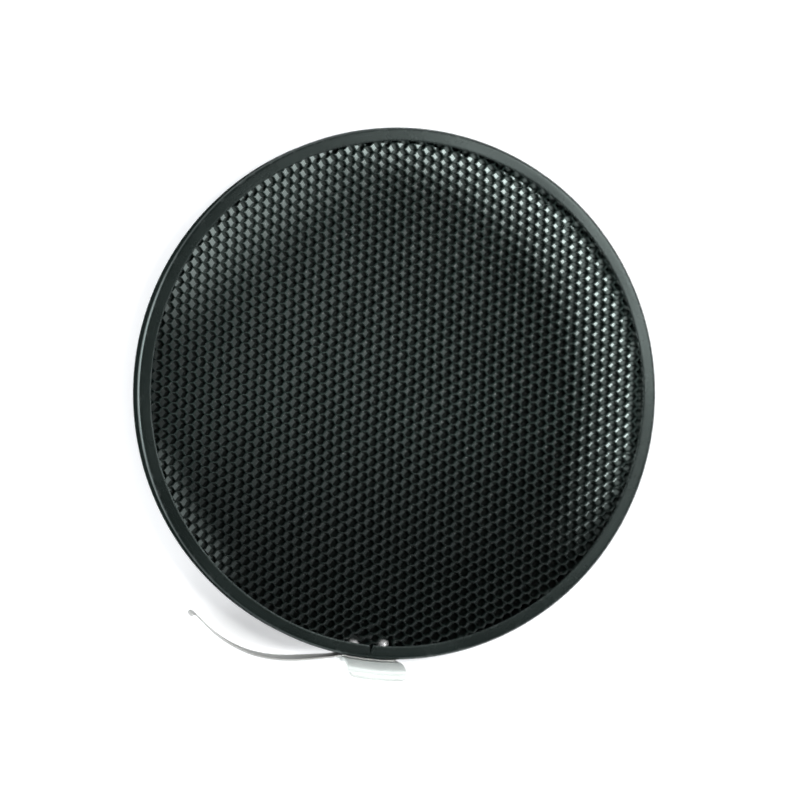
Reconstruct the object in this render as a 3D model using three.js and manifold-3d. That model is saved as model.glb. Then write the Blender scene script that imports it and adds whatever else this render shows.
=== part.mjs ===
// Honeycomb grid for a round studio reflector: a flat disc of black foil honeycomb held in a rolled channel hoop,
// with a leaf spring and a pull tab riveted over the hoop's butt joint.
// Millimetres. Origin in the middle of the whole part's outline, on the plane of its rear face, +Z along the grid's axis
// out of the front face, +Y up as the grid hangs in use, +X to the right seen from the front. The pieces are drawn about
// the hoop's centre and moved to the origin at the end.
import * as THREE from "three";
import { mergeVertices } from "three/addons/utils/BufferGeometryUtils.js";
import Module from "manifold-3d";

// ---- driving dimensions ----
const RING_OUTER_R = 83; // outside radius of the hoop
const RING_DEPTH = 11.0; // hoop depth along the axis, over both lips
const SHEET = 1.0; // hoop sheet thickness
const LIP_INNER_R = 78.8; // free edge of each lip
const CORNER_R = 1.0; // outside bend radius of the hoop
const RING_SEGMENTS = 72;

const JOINT_DEG = 262.8; // butt joint of the hoop, counter-clockwise from +X
const JOINT_SLIT = 0.4; // gap between the two hoop ends
const NOTCH_W = 1.2; // width of the V at the lip's free edge
const NOTCH_DEEP = 2.3; // radial depth of the V

const CELL = 9.6; // across flats of one drawn cell: three foil cells of 3.2 across flats
const FOIL = 0.24; // three layers of 0.08 foil drawn as one
const GLUE = 0.12; // clearance between neighbouring ribbons at the bonded flats
const CORE_R = 81.7; // the core stands inside the hoop's channel
const CORE_DEPTH = 8.4; // foil ribbon width, along the axis
const RIBBONS = 33;
const CORE_TURN_DEG = -2.5; // the ribbons lie a little out of level

const RIVET_PITCH = 10.0; // spacing of the two rivets along the hoop
const RIVET_R = 1.6;
const RIVET_HEAD_R = 3.2;
const RIVET_HEAD_T = 0.9;
const RIVET_TAIL_R = 2.0;
const RIVET_TAIL_IN = [78.0, 77.2]; // radius that the inner end of the left and of the right rivet reaches
const RIVET_CLEAR = 0.25; // radial clearance of the rivet holes

const SPRING_T = 0.5; // leaf spring strip thickness
const SPRING_W = 8.6; // leaf spring strip width, along the axis
const SPRING_R = 83.2; // inside radius of the strip's riveted root
const ROOT_END_DEG = 6.3; // the root runs this far to the left of the joint, then the free arm begins
const ROOT_TAIL_DEG = 6.2; // and this far to the right of it

const TAB_T = 1.0; // pull tab sheet thickness
const TAB_W = 18.6; // pull tab width, along the hoop
const TAB_DEG = 263.3; // middle of the tab
const TAB_LIP_DEG = 267.0; // direction that its lip is turned out to
const TAB_R = 83.9; // inside radius of the tab's riveted base
const TAB_PROFILE = [
  // [z, radius] along the middle of the sheet, from the rear edge of the base to the free lip
  [-4.8, 84.4],
  [4.8, 84.4],
  [8.0, 84.5],
  [10.4, 84.85],
  [12.2, 85.4],
  [13.4, 86.1],
  [14.0, 86.95],
  [14.25, 87.9],
  [14.3, 88.9],
];

// free arm of the leaf spring, along the middle of the strip, from the root to the curled tip
const ARM = [
  [-19.85, -81.36],
  [-20.56, -81.47],
  [-22.08, -81.62],
  [-24.35, -81.75],
  [-27.6, -81.9],
  [-31.4, -82.03],
  [-35.35, -82.03],
  [-39.7, -81.71],
  [-44.2, -80.88],
  [-48.55, -79.51],
  [-53.0, -77.35],
  [-57.35, -74.44],
  [-61.3, -70.95],
  [-63.95, -68.15],
];
const ARM_CURL = [
  [-64.65, -67.55],
  [-65.3, -67.3],
  [-65.8, -67.5],
  [-66.0, -68.1],
];
const ARM_TWIST = 0.07; // the arm's front edge stands further from the hoop than its rear edge, as a slope
const ARM_TWIST_OVER = 12; // reached this far from the root

const CENTRE_Y = 2.94; // height of the hoop's centre over the middle of the whole part's outline

const BLACK = { color: 0x14181a, roughness: 0.45, metalness: 0.0 };
const FOIL_BLACK = { color: 0x0d1112, roughness: 0.5, metalness: 0.0 };
const STEEL = { color: 0xb9bcb8, roughness: 0.32, metalness: 1.0 };
const ALU = { color: 0xd6d8da, roughness: 0.28, metalness: 1.0 };

// ---- solids ----
const wasm = await Module();
wasm.setup();

function solid(geometry) {
  const g = (geometry.index ? geometry.toNonIndexed() : geometry).clone();
  g.deleteAttribute("normal");
  g.deleteAttribute("uv");
  const m = mergeVertices(g, 1e-4);
  return new wasm.Manifold(
    new wasm.Mesh({
      numProp: 3,
      vertProperties: new Float32Array(m.attributes.position.array),
      triVerts: new Uint32Array(m.index.array),
    }),
  );
}

function geometryOf(s) {
  const m = s.getMesh();
  const p = new Float32Array(m.numVert * 3);
  for (let i = 0; i < m.numVert; i++)
    p.set(m.vertProperties.subarray(i * m.numProp, i * m.numProp + 3), i * 3);
  const g = new THREE.BufferGeometry();
  g.setAttribute("position", new THREE.BufferAttribute(p, 3));
  g.setIndex(new THREE.BufferAttribute(new Uint32Array(m.triVerts), 1));
  return g;
}

const largest = (s) =>
  s.decompose().reduce((a, b) => (b.volume() > a.volume() ? b : a));

function mesh(name, geometry, look) {
  const m = new THREE.Mesh(geometry, new THREE.MeshStandardMaterial(look));
  m.name = name;
  return m;
}

const rad = THREE.MathUtils.degToRad;
const JOINT = rad(JOINT_DEG);

// a flat XY outline as a plate of the given depth, centred on z = 0
function plate(points, depth) {
  const shape = new THREE.Shape(points.map(([x, y]) => new THREE.Vector2(x, y)));
  const g = new THREE.ExtrudeGeometry(shape, { depth, bevelEnabled: false });
  g.translate(0, 0, -depth / 2);
  return g;
}

// the outline of a band of thickness t along a path of points
function band(path, t) {
  const left = [],
    right = [];
  path.forEach(([x, y], i) => {
    const [ax, ay] = path[Math.max(i - 1, 0)],
      [bx, by] = path[Math.min(i + 1, path.length - 1)];
    const l = Math.hypot(bx - ax, by - ay);
    const nx = (-(by - ay) / l) * (t / 2),
      ny = ((bx - ax) / l) * (t / 2);
    left.push([x + nx, y + ny]);
    right.push([x - nx, y - ny]);
  });
  return [...left, ...right.reverse()];
}

// a round bar along the radius at an angle, from radius r0 to r1, at z = 0
function radialBar(angle, r, r0, r1, n = 16) {
  const g = new THREE.CylinderGeometry(r, r, r1 - r0, n);
  g.rotateZ(angle - Math.PI / 2);
  const m = (r0 + r1) / 2;
  g.translate(Math.cos(angle) * m, Math.sin(angle) * m, 0);
  return solid(g);
}

const rivetAngles = [-1, 1].map(
  (side) => JOINT + (side * RIVET_PITCH) / 2 / RING_OUTER_R,
);
const rivetHole = (r0, r1) =>
  radialBar(rivetAngles[0], RIVET_R + RIVET_CLEAR, r0, r1).add(
    radialBar(rivetAngles[1], RIVET_R + RIVET_CLEAR, r0, r1),
  );

const grid = new THREE.Group();

// ---- hoop: one strip rolled to a channel, its ends meeting at the butt joint ----
{
  const h = RING_DEPTH / 2,
    c = CORNER_R;
  const arc = (cr, cz, a0, a1, n) =>
    Array.from({ length: n + 1 }, (_, i) => {
      const a = rad(a0 + ((a1 - a0) * i) / n);
      return [cr + c * Math.cos(a), cz + c * Math.sin(a)];
    });
  const profile = [
    [LIP_INNER_R, -h + SHEET],
    [LIP_INNER_R, -h + 0.25],
    [LIP_INNER_R + 0.25, -h],
    ...arc(RING_OUTER_R - c, -h + c, -90, 0, 2),
    ...arc(RING_OUTER_R - c, h - c, 0, 90, 2),
    [LIP_INNER_R + 0.25, h],
    [LIP_INNER_R, h - 0.25],
    [LIP_INNER_R, h - SHEET],
    [RING_OUTER_R - SHEET, h - SHEET],
    [RING_OUTER_R - SHEET, -h + SHEET],
  ];
  const points = profile.map(([r, z]) => new THREE.Vector2(r, z));
  points.push(points[0].clone());
  const lathe = new THREE.LatheGeometry(points, RING_SEGMENTS);
  lathe.rotateX(Math.PI / 2);
  let ring = solid(lathe);
  if (ring.volume() < 0) {
    const g = new THREE.LatheGeometry(points.slice().reverse(), RING_SEGMENTS);
    g.rotateX(Math.PI / 2);
    ring = solid(g);
  }
  const slit = new THREE.BoxGeometry(12, JOINT_SLIT, RING_DEPTH + 4);
  slit.translate(LIP_INNER_R + 3, 0, 0);
  slit.rotateZ(JOINT);
  const notch = plate(
    [
      [LIP_INNER_R - 0.6, -NOTCH_W / 2],
      [LIP_INNER_R + NOTCH_DEEP, -0.1],
      [LIP_INNER_R + NOTCH_DEEP, 0.1],
      [LIP_INNER_R - 0.6, NOTCH_W / 2],
    ],
    RING_DEPTH + 4,
  );
  notch.rotateZ(JOINT);
  ring = ring
    .subtract(solid(slit))
    .subtract(solid(notch))
    .subtract(rivetHole(80, 86));
  grid.add(mesh("ring_channel", geometryOf(ring), BLACK));
}

// ---- core: corrugated foil ribbons, bonded at their flats ----
{
  const core = new THREE.Group();
  core.rotation.z = rad(CORE_TURN_DEG);
  const side = CELL / Math.sqrt(3);
  const period = 3 * side;
  const lift = (FOIL + GLUE) / 2;
  const disc = new THREE.CylinderGeometry(CORE_R, CORE_R, CORE_DEPTH, 72);
  disc.rotateX(Math.PI / 2);
  const round = solid(disc);
  // room for the rivets' inner ends, in the core's own turned frame
  const turned = rad(-CORE_TURN_DEG);
  const pockets = rivetAngles.map((a) =>
    radialBar(a + turned, RIVET_TAIL_R + 0.5, Math.min(...RIVET_TAIL_IN) - 0.5, 84),
  );
  for (let k = 0; k < RIBBONS; k++) {
    const y0 = (k - RIBBONS / 2) * (CELL / 2) + lift,
      y1 = y0 + CELL / 2 - 2 * lift;
    const phase = k % 2 ? period / 2 : 0;
    const path = [];
    const n = Math.ceil((2 * CORE_R) / period) + 2;
    for (let j = -Math.ceil(n / 2); j <= Math.ceil(n / 2); j++) {
      const x = j * period + phase;
      path.push(
        [x - side / 2, y0],
        [x + side / 2, y0],
        [x + side, y1],
        [x + 2 * side, y1],
      );
    }
    // the foil keeps its thickness on the slanted walls as well
    const miter = (FOIL / 2) * Math.tan(rad(30));
    const up = [],
      down = [];
    path.forEach(([x, y], i) => {
      const low = i % 4 < 2,
        first = i % 2 === 0;
      const s = (low ? 1 : -1) * (first ? 1 : -1) * miter;
      up.push([x + s, y + FOIL / 2]);
      down.push([x - s, y - FOIL / 2]);
    });
    const outline = [...down, ...up.reverse()];
    let ribbon = solid(plate(outline, CORE_DEPTH + 1)).intersect(round);
    for (const p of pockets) ribbon = ribbon.subtract(p);
    const name = "foil_ribbon_" + String(k + 1).padStart(2, "0");
    core.add(mesh(name, geometryOf(largest(ribbon)), FOIL_BLACK));
  }
  grid.add(core);
}

// ---- leaf spring: riveted root and free arm ----
{
  const a0 = JOINT + rad(ROOT_TAIL_DEG),
    a1 = JOINT - rad(ROOT_END_DEG),
    r = SPRING_R + SPRING_T / 2;
  const path = Array.from({ length: 13 }, (_, i) => {
    const a = a0 + ((a1 - a0) * i) / 12;
    return [r * Math.cos(a), r * Math.sin(a)];
  });
  const root = solid(plate(band(path, SPRING_T).reverse(), SPRING_W)).subtract(
    rivetHole(80, 86),
  );
  grid.add(mesh("leaf_spring_root", geometryOf(root), STEEL));

  const g = plate(band([...ARM, ...ARM_CURL], SPRING_T).reverse(), SPRING_W);
  const p = g.attributes.position;
  for (let i = 0; i < p.count; i++) {
    const t = Math.min((ARM[0][0] - p.getX(i)) / ARM_TWIST_OVER, 1);
    if (t > 0) p.setY(i, p.getY(i) - ARM_TWIST * p.getZ(i) * t * t * (3 - 2 * t));
  }
  const arm = solid(g);
  grid.add(mesh("leaf_spring_arm", geometryOf(arm), STEEL));
}

// ---- pull tab: base bent to the hoop, free lip curled outwards in front ----
{
  const lengths = [0];
  for (let i = 1; i < TAB_PROFILE.length; i++)
    lengths.push(
      lengths[i - 1] +
        Math.hypot(
          TAB_PROFILE[i][0] - TAB_PROFILE[i - 1][0],
          TAB_PROFILE[i][1] - TAB_PROFILE[i - 1][1],
        ),
    );
  const total = lengths[lengths.length - 1];
  const rows = TAB_PROFILE.length - 1;
  const g = new THREE.BoxGeometry(TAB_W, TAB_T, total, 12, 1, rows);
  const p = g.attributes.position;
  for (let i = 0; i < p.count; i++) {
    const u = p.getX(i),
      n = p.getY(i);
    const row = Math.round(((p.getZ(i) + total / 2) / total) * rows);
    const [z, r] = TAB_PROFILE[row];
    const [za, ra] = TAB_PROFILE[Math.max(row - 1, 0)],
      [zb, rb] = TAB_PROFILE[Math.min(row + 1, rows)];
    const l = Math.hypot(zb - za, rb - ra);
    const nz = -(rb - ra) / l,
      nr = (zb - za) / l;
    // the free corners are rounded off
    const left = total - lengths[row],
      c = 2.2;
    const half = TAB_W / 2;
    const trim = left < c ? c - Math.sqrt(c * c - (c - left) ** 2) : 0;
    const uu = (u / half) * (half - trim);
    const a = rad(TAB_DEG) + uu / TAB_R;
    const r0 = TAB_PROFILE[0][1];
    const rr = r0 + n * nr, // the base follows the hoop
      out = r - r0; // the lip is turned out in one direction
    p.setXYZ(
      i,
      rr * Math.cos(a) + out * Math.cos(rad(TAB_LIP_DEG)),
      rr * Math.sin(a) + out * Math.sin(rad(TAB_LIP_DEG)),
      z + n * nz,
    );
  }
  let tab = solid(g);
  if (tab.volume() < 0) {
    const q = g.toNonIndexed(),
      v = q.attributes.position;
    for (let i = 0; i < v.count; i += 3) {
      const [x, y, z] = [v.getX(i), v.getY(i), v.getZ(i)];
      v.setXYZ(i, v.getX(i + 1), v.getY(i + 1), v.getZ(i + 1));
      v.setXYZ(i + 1, x, y, z);
    }
    tab = solid(q);
  }
  tab = tab.subtract(rivetHole(80, 88));
  grid.add(mesh("pull_tab", geometryOf(tab), STEEL));
}

// ---- blind rivets: flange head outside, upset tail inside the channel ----
["rivet_left", "rivet_right"].forEach((name, i) => {
  const rim = TAB_R + TAB_T + 0.2; // seat of the flange head
  const tail = RIVET_TAIL_IN[i];
  const points = [
    [0, tail],
    [1.3, tail + 0.15],
    [RIVET_TAIL_R - 0.1, tail + 0.8],
    [RIVET_TAIL_R, tail + 2.2],
    [RIVET_TAIL_R - 0.2, RING_OUTER_R - SHEET - 0.8],
    [RIVET_R, RING_OUTER_R - SHEET - 0.3],
    [RIVET_R, rim],
    [RIVET_HEAD_R, rim],
    [RIVET_HEAD_R - 0.15, rim + 0.45],
    [RIVET_HEAD_R - 1.2, rim + RIVET_HEAD_T],
    [0.9, rim + RIVET_HEAD_T],
    [0.8, rim + RIVET_HEAD_T - 0.5],
    [0, rim + RIVET_HEAD_T - 0.5],
  ].map(([r, y]) => new THREE.Vector2(r, y));
  const g = new THREE.LatheGeometry(points, 12);
  g.rotateZ(rivetAngles[i] - Math.PI / 2);
  grid.add(mesh(name, g, ALU));
});

// ---- origin ----
grid.position.set(0, CENTRE_Y, RING_DEPTH / 2);
const part = new THREE.Group();
part.add(grid);

export default part;
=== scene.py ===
# Honeycomb grid for a round studio reflector: a foil core in a rolled channel hoop, with a leaf
# spring, a pull tab and two rivets at the hoop's joint.
# The hoop's axis is Z. Front is +Z, towards the camera, left is -X, and the joint is at the bottom (-Y).
import math
import bpy
import bmesh
import numpy as np
from mathutils import Vector, Matrix


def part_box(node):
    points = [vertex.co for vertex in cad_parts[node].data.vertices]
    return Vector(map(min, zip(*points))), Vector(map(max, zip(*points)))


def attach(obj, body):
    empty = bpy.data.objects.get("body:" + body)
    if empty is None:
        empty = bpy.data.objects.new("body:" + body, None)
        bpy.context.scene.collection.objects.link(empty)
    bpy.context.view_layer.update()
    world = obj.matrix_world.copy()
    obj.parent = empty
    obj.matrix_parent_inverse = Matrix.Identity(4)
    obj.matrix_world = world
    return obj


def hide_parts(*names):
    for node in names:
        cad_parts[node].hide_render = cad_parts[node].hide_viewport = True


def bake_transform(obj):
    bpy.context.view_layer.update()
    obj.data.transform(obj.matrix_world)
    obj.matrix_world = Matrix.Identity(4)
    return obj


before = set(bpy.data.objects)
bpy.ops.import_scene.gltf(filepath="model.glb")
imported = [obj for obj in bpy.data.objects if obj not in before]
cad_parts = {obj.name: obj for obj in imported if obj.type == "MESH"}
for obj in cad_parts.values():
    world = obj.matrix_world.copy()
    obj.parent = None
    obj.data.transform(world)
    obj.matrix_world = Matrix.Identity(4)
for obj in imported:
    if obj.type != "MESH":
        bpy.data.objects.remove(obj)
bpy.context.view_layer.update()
scene = bpy.context.scene
MM = 0.001

# ---------------------------------------------------------------- shared sizes, mm
ring_lo, ring_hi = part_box("ring_channel")
foil_lo, foil_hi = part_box("foil_ribbon_17")
CENTRE = (ring_lo + ring_hi) / 2  # hoop's centre, m: everything below is drawn about it
RING_R = (ring_hi.x - ring_lo.x) / 2 / MM
HALF = (ring_hi.z - ring_lo.z) / 2 / MM  # half the hoop's depth
CORE_HALF = (foil_hi.z - foil_lo.z) / 2 / MM  # half the core's depth
SHEET = 1.0  # thickness of the hoop's sheet
LIP_R = 78.8  # free edges of the hoop's lips
CORE_R = 81.8
NOMINAL_R = 83.0  # turns lengths round the hoop into angles
JOINT = math.radians(262.8)  # where the hoop's two ends meet
RIVET_STEP = 5.0 / NOMINAL_R  # angle from the joint to each rivet
RIVETS = [  # side, angle, radius of the inner end
    ("left", JOINT - RIVET_STEP, 78.0),
    ("right", JOINT + RIVET_STEP, 77.2),
]


def mm(*lengths):
    """Millimetres to metres."""
    return tuple(length * MM for length in lengths)


# ---------------------------------------------------------------- mesh helpers
def mesh_object(name, verts, faces, wear=None):
    """A smooth mesh from points in mm about the hoop's centre."""
    mesh = bpy.data.meshes.new(name)
    mesh.from_pydata((np.asarray(verts, float) * MM + np.array(CENTRE)).tolist(), [], faces)
    if wear is not None:
        attribute = mesh.attributes.new("wear", "FLOAT", "POINT")
        attribute.data.foreach_set("value", np.asarray(wear, np.float32))
    mesh.polygons.foreach_set("use_smooth", [True] * len(mesh.polygons))
    mesh.update()
    ob = bpy.data.objects.new(name, mesh)
    scene.collection.objects.link(ob)
    return ob


def solid(name, verts, faces, wear, sharp):
    """A closed mesh with its normals out, creased where faces meet at over sharp degrees."""
    ob = mesh_object(name, verts, faces, wear)
    bm = bmesh.new()
    bm.from_mesh(ob.data)
    for edge in bm.edges:
        if len(edge.link_faces) == 2 and edge.calc_face_angle(0) > math.radians(sharp):
            edge.smooth = False
    bmesh.ops.recalc_face_normals(bm, faces=bm.faces)
    if bm.calc_volume(signed=True) < 0:
        bmesh.ops.reverse_faces(bm, faces=bm.faces)
    bm.to_mesh(ob.data)
    bm.free()
    return ob


def loft_faces(rows, count):
    """Faces joining rows of count points each, with a cap at both ends."""
    faces = []
    for i in range(rows - 1):
        for j in range(count):
            a, b = i * count + j, i * count + (j + 1) % count
            faces.append((a, b, b + count, a + count))
    faces.append(tuple(range(count))[::-1])
    faces.append(tuple((rows - 1) * count + j for j in range(count)))
    return faces


def arc(centre, radius, start, end, steps):
    """Points on an arc, angles in degrees."""
    angles = [math.radians(start + (end - start) * i / steps) for i in range(steps + 1)]
    return [(centre[0] + radius * math.cos(a), centre[1] + radius * math.sin(a)) for a in angles]


def spline(points, step):
    """A Catmull-Rom path through points, resampled about every step mm."""
    p = np.array(points, float)
    p = np.vstack([2 * p[0] - p[1], p, 2 * p[-1] - p[-2]])
    out = []
    for i in range(1, len(p) - 2):
        a, b, c, d = p[i - 1:i + 3]
        count = max(2, int(np.linalg.norm(c - b) / step))
        for k in range(count):
            t = k / count
            out.append(0.5 * (2 * b + (c - a) * t + (2 * a - 5 * b + 4 * c - d) * t * t
                              + (3 * b - a - 3 * c + d) * t ** 3))
    out.append(p[-2])
    return np.array(out)


def path_frames(path):
    """For each point of a path: place, normal, distance from the start, distance to the end."""
    tangent = np.gradient(path, axis=0)
    tangent /= np.linalg.norm(tangent, axis=1)[:, None]
    normal = np.stack([-tangent[:, 1], tangent[:, 0]], 1)
    done = np.concatenate([[0], np.cumsum(np.linalg.norm(np.diff(path, axis=0), axis=1))])
    return zip(path, normal, done, done[-1] - done)


def corner_cut(distance, radius):
    """How much a rounded corner takes off a half width, at a distance from the strip's end."""
    if distance >= radius:
        return 0.0
    return radius - math.sqrt(max(radius ** 2 - (radius - distance) ** 2, 0))


def strip_section(half_width, half_thick, corner, across):
    """A rounded rectangle as (width, normal) points, anticlockwise."""
    corner = min(corner, half_thick * 0.98, half_width * 0.98)
    x, y = half_width - corner, half_thick - corner
    points = []
    for cx, cy, start in ((x, y, 0), (-x, y, 90), (-x, -y, 180), (x, -y, 270)):
        points += arc((cx, cy), corner, start, start + 90, 4)
        if start in (0, 180):  # the long sides
            x0, y0 = points[-1]
            points += [(x0 - 2 * x0 * k / across, y0) for k in range(1, across)]
    return points


def sweep(name, stations, across, corner):
    """stations: (function (width, normal) -> xyz, half width, half thickness)."""
    WEAR_BAND = 0.6  # worn margin along the strip's edges
    verts, wear = [], []
    for place, half_width, half_thick in stations:
        section = strip_section(half_width, half_thick, corner, across)
        for width, normal in section:
            verts.append(place(width, normal))
            wear.append(max(0.0, 1 - (half_width - abs(width)) / WEAR_BAND))
    count = len(section)
    wear = np.array(wear)
    wear[:3 * count] = 1
    wear[-3 * count:] = 1
    return solid(name, verts, loft_faces(len(stations), count), wear, sharp=40)


def smooth_noise(x, y, seed, wavelength):
    """Seeded sum of waves in the plane, about -1 to 1."""
    random = np.random.RandomState(seed)
    total = np.zeros_like(np.asarray(x, float))
    waves = 7
    for _ in range(waves):
        angle = random.uniform(0, 2 * math.pi)
        rate = 2 * math.pi / (wavelength * random.uniform(0.7, 1.5))
        phase = random.uniform(0, 2 * math.pi)
        total = total + np.sin(rate * (x * math.cos(angle) + y * math.sin(angle)) + phase)
    return total / math.sqrt(waves) * 0.9


# ---------------------------------------------------------------- shader helpers
class Graph:
    """Short ways to add nodes to a tree."""

    def __init__(self, owner):
        owner.use_nodes = True
        self.tree = owner.node_tree
        self.tree.nodes.clear()

    def fill(self, node, inputs):
        """Link or set a node's inputs, by name or index."""
        for key, value in inputs.items():
            if isinstance(value, bpy.types.NodeSocket):
                self.tree.links.new(value, node.inputs[key])
            else:
                node.inputs[key].default_value = value

    def new(self, kind, inputs=None, **props):
        node = self.tree.nodes.new(kind)
        for key, value in props.items():
            setattr(node, key, value)
        self.fill(node, inputs or {})
        return node

    def object_place(self):
        return self.new("ShaderNodeTexCoord").outputs["Object"]

    def hoop_place(self):
        """Place on the object, measured from the hoop's centre."""
        inputs = {0: self.object_place(), 1: tuple(CENTRE)}
        return self.new("ShaderNodeVectorMath", inputs, operation="SUBTRACT").outputs[0]

    def scaled(self, vector, scale):
        inputs = {0: vector, 1: scale}
        return self.new("ShaderNodeVectorMath", inputs, operation="MULTIPLY").outputs[0]

    def noise(self, vector, scale=1.0, detail=3.0, rough=0.55):
        inputs = {"Vector": vector, "Scale": scale, "Detail": detail, "Roughness": rough}
        return self.new("ShaderNodeTexNoise", inputs).outputs["Fac"]

    def ramp(self, value, over, to=(0.0, 1.0)):
        """A smooth, clamped step: value over one range is mapped to another."""
        inputs = {"Value": value, "From Min": over[0], "From Max": over[1],
                  "To Min": to[0], "To Max": to[1]}
        node = self.new("ShaderNodeMapRange", inputs, interpolation_type="SMOOTHSTEP")
        return node.outputs["Result"]

    def math(self, operation, *values):
        inputs = dict(enumerate(values))
        return self.new("ShaderNodeMath", inputs, operation=operation).outputs[0]

    def times(self, first, *others):
        for other in others:
            first = self.math("MULTIPLY", first, other)
        return first

    def radius(self, x, y):
        return self.math("SQRT", self.math("ADD", self.times(x, x), self.times(y, y)))

    def mix(self, factor, first, second, amount=None):
        """Blend of two colours; amount scales the factor."""
        if amount is not None:
            factor = self.times(factor, amount)
        inputs = {"Factor": factor, 6: first, 7: second}
        return self.new("ShaderNodeMix", inputs, data_type="RGBA").outputs[2]

    def wear(self):
        return self.new("ShaderNodeAttribute", attribute_name="wear").outputs["Fac"]

    def bump(self, height, strength, distance, normal=None):
        inputs = {"Strength": strength, "Distance": distance, "Height": height}
        if normal is not None:
            inputs["Normal"] = normal
        return self.new("ShaderNodeBump", inputs).outputs[0]

    def split(self, vector):
        return self.new("ShaderNodeSeparateXYZ", {0: vector}).outputs


def new_material(name):
    material = bpy.data.materials.new(name)
    graph = Graph(material)
    output = graph.new("ShaderNodeOutputMaterial")
    surface = graph.new("ShaderNodeBsdfPrincipled")
    graph.fill(output, {"Surface": surface.outputs[0]})
    return material, graph, surface


# ---------------------------------------------------------------- materials
def black_paint():
    material, g, surface = new_material("black_paint")
    place = g.hoop_place()
    cloud = g.noise(place, scale=45, detail=4)
    peel = g.noise(place, scale=2600, detail=2)
    rub = g.noise(place, scale=420, detail=6, rough=0.7)
    wear = g.wear()
    x, y, z = g.split(place)
    angle = g.math("ARCTAN2", y, x)
    radius = g.radius(x, y)
    # edge wear: the paint is thinned and polished on the outer bends and the lips' free edges
    edge = g.times(wear, g.ramp(rub, over=(0.50, 0.70)))
    base = g.mix(g.ramp(cloud, over=(0.3, 0.7)),
                 (0.0046, 0.0070, 0.0063, 1), (0.0064, 0.0096, 0.0088, 1))
    worn = g.mix(edge, base, (0.14, 0.15, 0.15, 1), amount=0.16)
    # fine scuffs that run round the hoop: noise drawn out along the angle
    ALONG, ACROSS = 6.0, 5200.0
    stretched = g.new("ShaderNodeCombineXYZ", {
        0: g.times(angle, ALONG), 1: g.times(radius, ACROSS), 2: g.times(z, ACROSS)})
    lines = g.noise(stretched.outputs[0], detail=2)
    scuff = g.ramp(lines, over=(0.64, 0.82))
    cloud_rough = g.ramp(cloud, over=(0.25, 0.75), to=(0.22, 0.28))
    SCUFF_ROUGH = 0.08
    # painted highlight: the specular level is raised on the outer bends, on the left only, where the
    # lights catch them;
    # painted shade: it is cut to nothing on the outer wall, so the wall shows no reflection and reads
    # black
    BASE_SPECULAR = 0.28
    painted_bend_highlight = g.times(g.ramp(radius, over=mm(RING_R - 1.0, RING_R - 0.72), to=(0.0, 0.95)),
                   g.ramp(x, over=mm(-82, -68), to=(1.0, 0.05)))
    painted_wall_shade = g.ramp(radius, over=mm(RING_R - 0.11, RING_R - 0.02), to=(0.0, 1.30))
    peel_bump = g.bump(peel, strength=0.10, distance=0.00004)
    g.fill(surface, {
        "Base Color": g.mix(scuff, worn, (0.09, 0.10, 0.10, 1), amount=0.07),
        "Roughness": g.math("ADD", cloud_rough, g.times(scuff, SCUFF_ROUGH)),
        "Specular IOR Level": g.math("SUBTRACT", g.math("ADD", painted_bend_highlight, BASE_SPECULAR), painted_wall_shade),
        "Specular Tint": (0.84, 1.0, 0.97, 1),
        "Normal": g.bump(lines, strength=0.05, distance=0.00003, normal=peel_bump)})
    return material


def black_foil():
    material, g, surface = new_material("black_foil")
    place = g.hoop_place()
    y, z = g.split(place)[1:]
    cloud = g.noise(place, scale=60, detail=3)
    fine = g.noise(place, scale=1400, detail=4)
    grain = g.noise(g.scaled(place, scale=(700, 700, 6000)), detail=2)
    edge = g.ramp(g.math("ABSOLUTE", z), over=mm(CORE_HALF - 0.20, CORE_HALF - 0.05))
    # the dip coat is worn off the cut edges in a few places
    chip = g.times(edge, g.ramp(fine, over=(0.62, 0.74)))
    base = g.mix(g.ramp(cloud, over=(0.3, 0.7)),
                 (0.0260, 0.0430, 0.0375, 1), (0.0370, 0.0590, 0.0520, 1))
    # painted shade: the walls are darkened towards the open faces, and most of all low down on the grid,
    # where less light reaches the cells
    depth = g.math("ABSOLUTE", z)
    painted_shade_near_faces = g.times(g.ramp(depth, over=mm(CORE_HALF - 2.8, CORE_HALF - 0.8), to=(0.0, 0.93)),
                   g.ramp(y, over=mm(-50, 5), to=(1.0, 0.30)))
    foil_with_painted_shade = g.mix(painted_shade_near_faces, base, (0.0050, 0.0088, 0.0078, 1))
    BASE_SPECULAR, EDGE_LOSS = 0.30, 0.2
    g.fill(surface, {
        "Base Color": g.mix(chip, foil_with_painted_shade, (0.20, 0.21, 0.21, 1), amount=0.12),
        "Roughness": g.ramp(grain, over=(0.25, 0.75), to=(0.34, 0.46)),
        "Specular IOR Level": g.math("SUBTRACT", BASE_SPECULAR, g.times(edge, EDGE_LOSS)),
        "Normal": g.bump(grain, strength=0.16, distance=0.00003)})
    return material


def bare_metal(name, colours, rough, grain_scale, metal, glance, worn):
    """Brushed metal. glance: strength of glancing reflections; worn: how pale the edges go."""
    material, g, surface = new_material(name)
    place = g.hoop_place()
    grain = g.noise(g.scaled(place, grain_scale), detail=3)
    cloud = g.noise(place, scale=90, detail=4)
    spots = g.noise(place, scale=900, detail=3)
    wear = g.wear()
    dull = tuple(0.5 * v for v in colours[0][:3]) + (1,)
    base = g.mix(g.ramp(cloud, over=(0.3, 0.7)), *colours)
    spotted = g.mix(g.ramp(spots, over=(0.62, 0.74)), base, dull, amount=0.25)
    CLOUD_ROUGH = 0.06
    g.fill(surface, {
        "Base Color": g.mix(wear, spotted, (0.86, 0.87, 0.86, 1), amount=worn),
        "Metallic": metal,
        "Specular Tint": (glance, glance, glance, 1),
        "Roughness": g.math("ADD", g.ramp(grain, over=(0.3, 0.7), to=rough),
                            g.times(cloud, CLOUD_ROUGH)),
        "Normal": g.bump(grain, strength=0.12, distance=0.00002)})
    return material


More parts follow.
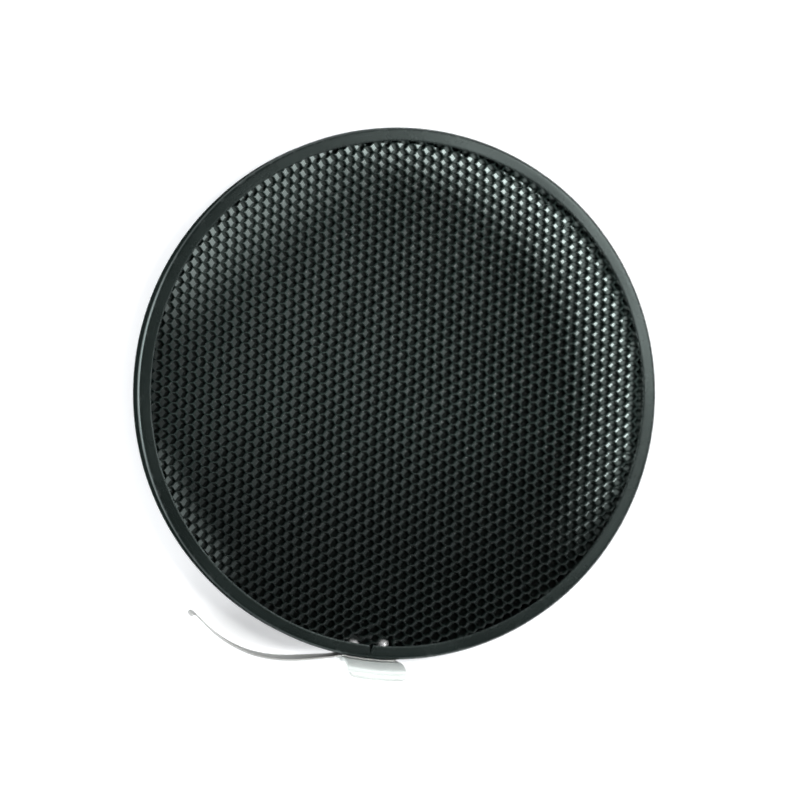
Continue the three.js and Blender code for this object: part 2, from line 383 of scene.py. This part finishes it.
def floor_material():
    """Pale floor, with the studio light that reaches it through the open cells as emission."""
    material, g, surface = new_material("pale_floor")
    place = g.object_place()
    cloud = g.noise(place, scale=3, detail=3)
    fine = g.noise(place, scale=300, detail=3)
    x, y, _ = g.split(place)

    def away(centre_x, centre_y):
        return g.radius(g.math("SUBTRACT", x, centre_x * MM), g.math("SUBTRACT", y, centre_y * MM))

    inside = g.ramp(away(0, 0), over=mm(80.5, 82.0), to=(1.0, 0.0))
    # strong along the upper right of the grid
    right = g.times(g.ramp(away(-19, -5), over=mm(74, 98), to=(0.0, 1.15)),
                    g.ramp(y, over=mm(-56, -14)))
    # weaker at the upper left
    left = g.times(g.ramp(away(10, -12), over=mm(70, 95), to=(0.0, 0.25)),
                   g.ramp(y, over=mm(12, 50)),
                   g.ramp(x, over=mm(-30, 16), to=(1.0, 0.0)))
    # faint at the lower left
    low = g.times(g.ramp(away(6, 4), over=mm(77, 85), to=(0.0, 0.10)),
                  g.ramp(y, over=mm(-62, -48)),
                  g.ramp(x, over=mm(-60, -40), to=(1.0, 0.0)),
                  g.ramp(y, over=mm(-24, -10), to=(1.0, 0.0)))
    # a little in the middle, hardly any at the bottom
    middle = g.ramp(away(0, 24), over=mm(6, 100), to=(0.080, 0.013))
    total = g.math("ADD", g.math("ADD", right, left), g.math("ADD", low, middle))
    # outside the hoop the floor is lit from below as well, so its shadows stay pale
    outside = g.ramp(away(0, 0), over=mm(79.5, 82.5), to=(0.0, 0.32))
    g.fill(surface, {
        "Base Color": g.mix(cloud, (0.86, 0.865, 0.875, 1), (0.88, 0.88, 0.885, 1)),
        "Roughness": g.ramp(fine, over=(0.3, 0.7), to=(0.65, 0.75)),
        "Specular IOR Level": 0.2,
        "Emission Color": g.mix(inside, (0.97, 0.985, 1.0, 1), (0.84, 1.0, 0.96, 1)),
        "Emission Strength": g.math("ADD", g.times(inside, total), outside)})
    return material


PAINT = black_paint()
FOIL = black_foil()
SPRING = bare_metal("spring_steel", colours=((0.40, 0.405, 0.395, 1), (0.47, 0.475, 0.46, 1)),
                    rough=(0.34, 0.46), grain_scale=(1500, 1500, 9000),
                    metal=0.8, glance=0.55, worn=0.0)
TAB = bare_metal("tab_steel", colours=((0.52, 0.56, 0.54, 1), (0.58, 0.61, 0.59, 1)),
                 rough=(0.30, 0.42), grain_scale=(9000, 1500, 1500),
                 metal=0.35, glance=0.8, worn=0.12)
RIVET = bare_metal("rivet_aluminium", colours=((0.86, 0.86, 0.87, 1), (0.92, 0.92, 0.93, 1)),
                   rough=(0.30, 0.40), grain_scale=(2500, 2500, 2500),
                   metal=0.35, glance=1.0, worn=0.35)


def dress(ob, material, slot, *cad):
    """Give a piece its material and hide the CAD pieces it stands for."""
    ob.data.materials.append(material)
    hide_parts(*cad)


def dress_on_grid(ob, material, slot, cad):
    dress(ob, material, slot, cad)
    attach(ob, "grid")


# ---------------------------------------------------------------- hoop
def channel_section():
    """(radius, z, wear) anticlockwise round the section, from the rear lip's free edge."""
    outer_bend, inner_bend, edge = 1.0, 0.28, 0.22  # corner radii
    bend_r = RING_R - outer_bend
    inner_bend_r = RING_R - SHEET - inner_bend
    edge_r = LIP_R + edge
    inner_z = HALF - SHEET  # the lips' inner faces
    wall_end = HALF - outer_bend - 0.5
    lip_radii = (79.4, 80.1, 81.0, 81.7)
    parts = [  # wear, points
        (0.7, [(LIP_R, -inner_z - edge)]),
        (0.9, arc((edge_r, -HALF + edge), edge, 180, 270, 3)),
        (0.08, [(r, -HALF) for r in lip_radii]),
        (1.0, arc((bend_r, -HALF + outer_bend), outer_bend, -90, 0, 7)),
        (0.12, [(RING_R, z) for z in (-wall_end, -2.0, 0.0, 2.0, wall_end)]),
        (1.0, arc((bend_r, HALF - outer_bend), outer_bend, 0, 90, 7)),
        (0.08, [(r, HALF) for r in lip_radii[::-1]]),
        (0.9, arc((edge_r, HALF - edge), edge, 90, 180, 3)),
        (0.6, [(LIP_R, inner_z + edge)]),
        (0.3, arc((edge_r, inner_z + edge), edge, 180, 270, 2)[1:]),
        (0.0, arc((inner_bend_r, inner_z - inner_bend), inner_bend, 90, 0, 3)),
        (0.0, [(RING_R - SHEET, z) for z in (2.0, 0.0, -2.0)]),
        (0.0, arc((inner_bend_r, -inner_z + inner_bend), inner_bend, 0, -90, 3)),
        (0.3, arc((edge_r, -inner_z - edge), edge, 90, 180, 2)[:-1]),
    ]
    return np.array([(r, z, wear) for wear, points in parts for r, z in points])


def ring_turns():
    """Stations round the hoop as parts of a turn, closer together at the joint."""
    even = np.linspace(0, 1, 541)
    near = np.array([0.0, 0.0006, 0.0014, 0.0025, 0.004, 0.006, 0.0085])
    return np.concatenate([near, even[(even > 0.0095) & (even < 0.9905)], 1 - near[::-1]])


def waves(angle, *terms):
    """Sum of sines round the hoop; terms are (mm, waves a turn, phase)."""
    return sum(size * math.sin(count * angle + phase) for size, count, phase in terms)


def build_ring():
    section_r, section_z, section_wear = channel_section().T
    # the slit between the hoop's two ends opens to a V at the lips' free edges
    v_depth, slit, v_extra = 2.4, 0.05, 0.62
    deep = np.clip((LIP_R + v_depth - section_r) / v_depth, 0, 1)
    half_gap = (slit + v_extra * deep) / section_r
    lip = np.clip((81.5 - section_r) / 3.0, 0, 1)  # 0 at the wall, rising over the lips
    facing = np.sign(section_z)
    turns = ring_turns()
    verts, wear = [], []
    for turn in turns:
        angle = JOINT + half_gap + (2 * math.pi - 2 * half_gap) * turn
        to_joint = min(turn, 1 - turn) * 2 * math.pi * NOMINAL_R
        mean = float(angle.mean())
        # rolled sheet is never quite true: the lips' free edges wander and the ends sit low
        wander_r = 0.9 * waves(mean, (0.05, 3, 0.4), (0.04, 7, 2.0), (0.03, 13, 1.1))
        wander_z = -0.05 + waves(mean, (0.04, 5, 0.7), (0.025, 11, 0))
        inset, drop = (0.10, 0.10) if turn < 0.5 else (0.02, 0.03)
        end = math.exp(-to_joint / 2.2)
        r = section_r + lip * wander_r - inset * end * (0.3 + 0.7 * lip)
        z = section_z + lip * facing * (wander_z - drop * end)
        verts.append(np.stack([r * np.cos(angle), r * np.sin(angle), z], 1))
        wear.append(np.clip(section_wear + 0.8 * math.exp(-to_joint / 0.35), 0, 1))
    return solid("ring_channel_hoop", np.concatenate(verts),
                 loft_faces(len(turns), len(section_r)), np.concatenate(wear), sharp=50)


ring = build_ring()

# ---------------------------------------------------------------- foil ribbons
CELL = 3.2  # cell size across flats
SIDE = CELL / math.sqrt(3)
FOIL_T = 0.08
BEND = 0.42  # how far from a corner its soft bend starts
CORE_TURN = math.radians(-2.5)
LINES = 104  # lines of bonded flats between ribbons
FLATS = 34  # flats each side of a line's middle
STRETCH, STRETCH_GROWTH = 0.019, 0.00034  # how far the core was pulled open along x
JITTER = 0.055
LEAN_X, LEAN_Y = 0.050, -0.062  # sideways lean for each mm towards the front
TAIL_CLEAR = 2.35  # space kept round the rivets' inner ends
CAD_RIBBONS = 33


def tail_distance(x, y):
    """Distance from the nearer rivet's inner end, as a bar along the radius."""
    best = np.full(np.shape(x), 1e9)
    for _, angle, tail in RIVETS:
        ux, uy = math.cos(angle), math.sin(angle)
        along = x * ux + y * uy
        off = x * -uy + y * ux
        short = np.maximum(tail + 1.2 - along, 0)
        best = np.minimum(best, np.hypot(off, short))
    return best


def crush(x, y):
    """1 beside the rivets' inner ends, falling to 0 a few cells away."""
    centre_r, widen, full, fade = 78.0, 1.25, 3.5, 7.5
    off_x, off_y = x - centre_r * math.cos(JOINT), y - centre_r * math.sin(JOINT)
    return np.clip(1 - (np.hypot(off_x / widen, off_y) - full) / fade, 0, 1) ** 1.5


def inside(points):
    x, y = points[:, 0], points[:, 1]
    return (np.hypot(x, y) < CORE_R - 0.06) & (tail_distance(x, y) > TAIL_CLEAR)


def cut(start, end):
    """The last point from start (inside) towards end (outside) that is inside."""
    low, high = 0.0, 1.0
    for _ in range(18):
        middle = (low + high) / 2
        if inside((start + (end - start) * middle)[None])[0]:
            low = middle
        else:
            high = middle
    return start + (end - start) * low


def core_nodes():
    """Both ends of every bonded flat, as [line, flat, end] -> (x, y)."""
    random = np.random.RandomState(23)
    jitter = random.normal(0, 1, (LINES + 2, 2 * FLATS + 1, 4))[:LINES, :, None, :]
    j0, j1, j2, j3 = (jitter[..., i] for i in range(4))
    line = np.arange(LINES)[:, None, None]
    flat = np.arange(-FLATS, FLATS + 1)[None, :, None]
    end = np.array([-1.0, 1.0])[None, None, :]
    x = (flat + 0.5 * (line % 2)) * 3 * SIDE + end * SIDE / 2 * (1 + 0.05 * j2) + JITTER * j0
    y = (line - (LINES - 1) / 2) * CELL / 2 + JITTER * 0.8 * j1 + end * 0.035 * j3
    # slow changes in how far the core was pulled open: wider towards the right and the top
    dx = (STRETCH * x + STRETCH_GROWTH * x * x
          + 0.10 * smooth_noise(x, y, seed=3, wavelength=62)
          + 0.05 * smooth_noise(x, y, seed=5, wavelength=23))
    dy = (0.00010 * y * y - 0.00006 * x * y
          + 0.10 * smooth_noise(x, y, seed=4, wavelength=70)
          + 0.05 * smooth_noise(x, y, seed=6, wavelength=25))
    x, y = x + dx, y + dy
    cos, sin = math.cos(CORE_TURN), math.sin(CORE_TURN)
    x, y = cos * x - sin * y, sin * x + cos * y
    crushed = crush(x, y)
    return np.stack([x + crushed * (0.55 * j1 + 0.25 * j3),
                     y + crushed * (0.50 * j0 + 0.9)], -1)


def softened(corners):
    """The path through corners, with a soft bend at each."""
    path = [corners[0]]
    for before, corner, after in zip(corners, corners[1:], corners[2:]):
        bend_ends = []
        for other in (before, after):
            length = np.linalg.norm(other - corner)
            bend_ends.append(corner + (other - corner) / length * min(BEND, 0.45 * length))
        first, last = bend_ends
        path += [first, 0.25 * first + 0.5 * corner + 0.25 * last, last]
    path.append(corners[-1])
    return np.array(path)


def inside_runs(path):
    """The stretches of a path that lie inside the core's outline."""
    runs, run = [], []
    for i, is_in in enumerate(inside(path)):
        if is_in:
            if not run and i > 0:
                run.append(cut(path[i], path[i - 1]))
            run.append(path[i])
        elif run:
            run.append(cut(path[i - 1], path[i]))
            runs.append(np.array(run))
            run = []
    if run:
        runs.append(np.array(run))
    return [run for run in runs if len(run) > 3]


def build_core():
    """Ribbon paths, grouped by the CAD ribbon (from 0) that they stand for."""
    nodes = core_nodes()
    # each ribbon lies just inside the two lines of flats that it is bonded along
    shift = np.array([-math.sin(CORE_TURN), math.cos(CORE_TURN)]) * (FOIL_T + 0.02) / 2
    groups = {}
    for line in range(LINES - 1):
        corners = []
        for flat in range(1, 2 * FLATS - 1):
            corners.extend(nodes[line, flat] + shift)
            corners.extend(nodes[line + 1, flat + line % 2] - shift)
        corners = np.array(corners)
        near = np.flatnonzero(np.hypot(corners[:, 0], corners[:, 1]) < CORE_R + 6)
        if not len(near):
            continue
        runs = inside_runs(softened(corners[max(near[0] - 1, 0):near[-1] + 2]))
        if runs:
            group = min(max((line - 2) // 3, 0), CAD_RIBBONS - 1)
            groups.setdefault(group, []).extend(runs)
    return groups


def ribbon_points(path, seed):
    """Both faces of a ribbon, each as a rear, a middle and a front row of points."""
    tangent = np.gradient(path, axis=0)
    tangent /= np.linalg.norm(tangent, axis=1)[:, None] + 1e-12
    normal = np.stack([-tangent[:, 1], tangent[:, 0]], 1)
    x, y = path.T
    # the outermost walls stand straight against the hoop
    free = np.clip((CORE_R - 0.1 - np.hypot(x, y)) / 1.5, 0, 1)[:, None]
    rows = []
    for side in (1, -1):
        for level in (-1, 0, 1):
            buckle = 0.045 * smooth_noise(x + 3 * level, y, seed, wavelength=4.0) * (1 - abs(level))
            ragged = 0.05 * smooth_noise(x, y, seed=90 + level, wavelength=9.0) - 0.05
            z = level * (CORE_HALF + ragged)
            lean = np.column_stack([LEAN_X * z, LEAN_Y * z * np.clip((x + 85) / 60, 0.3, 1)])
            off = normal * (side * FOIL_T / 2 + buckle[:, None])
            rows.append(np.column_stack([path + off + lean * free, z]))
    return np.concatenate(rows)


def ribbon_faces(base, count):
    levels = 3

    def at(side, level, i):
        return base + (side * levels + level) * count + i

    faces = []
    for i in range(count - 1):
        for k in range(levels - 1):
            faces.append((at(0, k, i), at(0, k + 1, i), at(0, k + 1, i + 1), at(0, k, i + 1)))
            faces.append((at(1, k, i), at(1, k, i + 1), at(1, k + 1, i + 1), at(1, k + 1, i)))
        top = levels - 1
        faces.append((at(0, top, i), at(1, top, i), at(1, top, i + 1), at(0, top, i + 1)))
        faces.append((at(0, 0, i), at(0, 0, i + 1), at(1, 0, i + 1), at(1, 0, i)))
    last = count - 1
    for k in range(levels - 1):
        faces.append((at(0, k, 0), at(1, k, 0), at(1, k + 1, 0), at(0, k + 1, 0)))
        faces.append((at(0, k, last), at(0, k + 1, last), at(1, k + 1, last), at(1, k, last)))
    return faces


def build_ribbons(name, runs, seed):
    verts, faces, base = [], [], 0
    for path in runs:
        gap = np.linalg.norm(np.diff(path, axis=0), axis=1)
        path = path[np.concatenate([[True], gap > 1e-4])]
        if len(path) < 3:
            continue
        verts.append(ribbon_points(path, seed))
        faces += ribbon_faces(base, len(path))
        base += len(verts[-1])
    return mesh_object(name, np.concatenate(verts), faces)


for group, runs in build_core().items():
    ribbons = build_ribbons("foil_ribbons_%02d" % (group + 1), runs, seed=40 + group)
    dress_on_grid(ribbons, FOIL, "black_foil", "foil_ribbon_%02d" % (group + 1))

dress_on_grid(ring, PAINT, "black_paint", "ring_channel")

# ---------------------------------------------------------------- leaf spring
# one strip: a root that follows the hoop, then a free arm
SPRING_ROOT_R = 83.45
SPRING_ARM = [  # x, y from the root to the curl
    (-20.56, -81.47), (-22.08, -81.62), (-24.35, -81.75), (-27.6, -81.9), (-31.4, -82.03),
    (-35.35, -82.03), (-39.7, -81.71), (-44.2, -80.88), (-48.55, -79.51), (-53.0, -77.35),
    (-57.35, -74.44), (-61.3, -70.95), (-63.95, -68.15)]
SPRING_CURL = [(-64.65, -67.55), (-65.3, -67.3), (-65.8, -67.5), (-66.0, -68.1)]  # x, y
SPRING_HALF_WIDTH, SPRING_HALF_THICK, SPRING_END_THICK = 4.28, 0.25, 0.17
TWIST, TWIST_X, TWIST_LENGTH = 0.07, -19.85, 12.0  # slope, and where along x it sets in


def build_spring():
    root_angles = np.linspace(JOINT + math.radians(6.2), JOINT - math.radians(5.8), 9)
    root = [(SPRING_ROOT_R * math.cos(a), SPRING_ROOT_R * math.sin(a)) for a in root_angles]
    stations = []
    for point, normal, done, left in path_frames(spline(root + SPRING_ARM + SPRING_CURL, 0.45)):
        half_width = SPRING_HALF_WIDTH - max(corner_cut(left, 1.6), corner_cut(done, 1.2))
        half_thick = SPRING_END_THICK if min(left, done) < 0.12 else SPRING_HALF_THICK
        # the arm twists: its front edge stands further from the hoop's centre than its rear edge
        t = min(max((TWIST_X - point[0]) / TWIST_LENGTH, 0.0), 1.0)
        twist = TWIST * t * t * (3 - 2 * t)

        def place(width, off, point=point, normal=normal, twist=twist):
            return (point[0] + normal[0] * off, point[1] + normal[1] * off - twist * width, width)

        stations.append((place, half_width, half_thick))
    return sweep("leaf_spring", stations, across=6, corner=0.12)


spring = build_spring()
dress(spring, SPRING, "spring_steel", "leaf_spring_root", "leaf_spring_arm")
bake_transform(spring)

# ---------------------------------------------------------------- pull tab
TAB_R = 84.4  # middle of the sheet where it lies along the hoop
TAB_PROFILE = [  # z, radius
    (-4.8, TAB_R), (-1.5, TAB_R), (1.5, TAB_R), (4.8, TAB_R), (8.0, 84.5), (10.4, 84.85),
    (12.2, 85.4), (13.4, 86.1), (14.0, 86.95), (14.25, 87.9), (14.3, 88.9)]
TAB_HALF_WIDTH, TAB_HALF_THICK, TAB_EDGE = 9.28, 0.49, 0.25
TAB_WRAP_R = 83.9  # turns the tab's width into an angle
TAB_AT, TAB_OUT = math.radians(263.3), math.radians(267.0)  # its middle; the way it flares


def build_tab():
    stations = []
    for point, normal, done, left in path_frames(spline(TAB_PROFILE, 0.22)):
        half_width = TAB_HALF_WIDTH - max(corner_cut(left, 2.2), corner_cut(done, 1.0))
        half_thick = TAB_HALF_THICK - corner_cut(min(left, done), TAB_EDGE)

        def place(width, off, point=point, normal=normal):
            angle = TAB_AT + width / TAB_WRAP_R
            r, out = TAB_R + normal[1] * off, point[1] - TAB_R
            return (r * math.cos(angle) + out * math.cos(TAB_OUT),
                    r * math.sin(angle) + out * math.sin(TAB_OUT), point[0] + normal[0] * off)

        stations.append((place, half_width, max(half_thick, 0.2)))
    return sweep("pull_tab_sheet", stations, across=18, corner=0.2)


dress_on_grid(build_tab(), TAB, "tab_steel", "pull_tab")

# ---------------------------------------------------------------- rivets
RIM_R = 85.1  # seat of the outer heads
TAIL_PROFILE = [  # rivet radius, height out from the inner end
    (0.0, 0), (0.5, 0.02), (0.95, 0.12), (1.3, 0.30), (1.6, 0.55), (1.83, 0.95), (1.95, 1.5),
    (1.98, 2.1), (1.93, 2.7), (1.82, 3.2), (1.68, 3.6), (1.6, 3.9)]
HEAD_PROFILE = [  # rivet radius, height out from the seat
    (1.6, -0.02), (1.75, 0), (2.4, 0), (3.05, 0), (3.17, 0.06), (3.2, 0.17), (3.12, 0.32),
    (2.85, 0.52), (2.45, 0.70), (1.95, 0.82), (1.4, 0.88), (1.08, 0.89), (0.98, 0.85),
    (0.94, 0.75), (0.93, 0.45), (0.88, 0.38), (0.4, 0.36), (0.0, 0.40)]


def build_rivet(name, angle, tail):
    profile = [(r, tail + h) for r, h in TAIL_PROFILE] + [(r, RIM_R + h) for r, h in HEAD_PROFILE]
    count = 40
    outwards = np.array([math.cos(angle), math.sin(angle), 0])
    sideways = np.array([-math.sin(angle), math.cos(angle), 0])
    forwards = np.array([0, 0, 1.0])
    verts, faces, wear = [profile[0][1] * outwards], [], [0.3]
    for r, height in profile[1:-1]:
        for i in range(count):
            a = 2 * math.pi * i / count
            verts.append(outwards * height + sideways * (r * math.cos(a))
                         + forwards * (r * math.sin(a)))
            wear.append(1.0 if height > RIM_R else 0.3)
    verts.append(profile[-1][1] * outwards)
    wear.append(0.2)
    rows = len(profile) - 2
    last = 1 + (rows - 1) * count
    for i in range(count):
        j = (i + 1) % count
        faces.append((0, 1 + i, 1 + j))
        for a in range(1, last, count):
            b = a + count
            faces.append((a + i, b + i, b + j, a + j))
        faces.append((last + i, len(verts) - 1, last + j))
    return solid(name, verts, faces, wear, sharp=55)


for side, angle, tail in RIVETS:
    rivet = build_rivet("rivet_%s_body" % side, angle, tail)
    dress_on_grid(rivet, RIVET, "rivet_aluminium", "rivet_" + side)


# ---------------------------------------------------------------- stage, light, camera (m)
def build_floor():
    bm = bmesh.new()
    bmesh.ops.create_grid(bm, x_segments=8, y_segments=8, size=3.0)
    mesh = bpy.data.meshes.new("floor")
    bm.to_mesh(mesh)
    bm.free()
    floor = bpy.data.objects.new("floor", mesh)
    floor.location = (CENTRE.x, CENTRE.y, ring_lo.z - 0.05 * MM)
    scene.collection.objects.link(floor)
    mesh.materials.append(floor_material())


def area(name, at, size, power, to=(0, 0, 0), colour=(1, 1, 1)):
    """An area light; at and to are measured from the hoop's centre."""
    light = bpy.data.lights.new(name, "AREA")
    light.shape = "RECTANGLE"
    light.size, light.size_y = size
    light.energy = power
    light.color = colour
    ob = bpy.data.objects.new(name, light)
    ob.location = CENTRE + Vector(at)
    ob.rotation_mode = "QUATERNION"
    ob.rotation_quaternion = (Vector(to) - Vector(at)).to_track_quat("-Z", "Y")
    ob.visible_camera = False
    scene.collection.objects.link(ob)


def build_world():
    """Bright near the horizon, nearly dark overhead."""
    world = bpy.data.worlds.new("studio")
    scene.world = world
    g = Graph(world)
    output = g.new("ShaderNodeOutputWorld")
    background = g.new("ShaderNodeBackground")
    z = g.split(g.new("ShaderNodeTexCoord").outputs["Generated"])[2]
    g.fill(background, {"Strength": g.ramp(z, over=(0.20, 0.80), to=(2.5, 0.06)),
                        "Color": (0.97, 0.985, 1.0, 1)})
    g.fill(output, {"Surface": background.outputs[0]})


def build_camera():
    """From the grid's left, a little above its middle, far enough for a long lens."""
    yaw, rise, distance = math.radians(13.2), 0.010, 0.867
    camera = bpy.data.cameras.new("camera")
    camera.sensor_width = 36
    camera.sensor_fit = "HORIZONTAL"
    camera.lens = 124.4385
    camera.clip_start, camera.clip_end = 0.05, 20
    # a lens that is a touch soft: focused a little in front of the grid
    camera.dof.use_dof = True
    camera.dof.focus_distance = 0.80
    camera.dof.aperture_fstop = 22
    # the object sits a little left of and above the picture's middle
    camera.shift_x, camera.shift_y = 0.002, -0.008025
    ob = bpy.data.objects.new("camera", camera)
    scene.collection.objects.link(ob)
    eye = Vector((-distance * math.sin(yaw), rise, distance * math.cos(yaw)))
    forward = (-eye).normalized()
    right = forward.cross(Vector((0, 1, 0))).normalized()
    up = right.cross(forward).normalized()
    turn = Matrix((right, up, -forward)).transposed()
    ob.matrix_world = Matrix.Translation(CENTRE + eye) @ turn.to_4x4()
    scene.camera = ob


build_floor()
area("key_softbox", at=(0.46, 0.18, 0.95), to=(0.02, 0.02, 0), size=(0.34, 0.34), power=6.0,
     colour=(1, 0.998, 0.99))
area("fill_left", at=(-1.1, 0.15, 0.55), size=(0.8, 0.5), power=7.0, colour=(0.97, 0.985, 1))
area("fill_low", at=(0.1, -1.15, 0.7), size=(1.0, 0.6), power=5.0, colour=(0.98, 0.99, 1))
area("fill_high", at=(0.1, 1.2, 0.8), size=(1.0, 0.6), power=4.0)
build_world()
scene.view_settings.view_transform = "Standard"
scene.view_settings.look = "None"
scene.view_settings.exposure = 0
scene.view_settings.gamma = 1
build_camera()
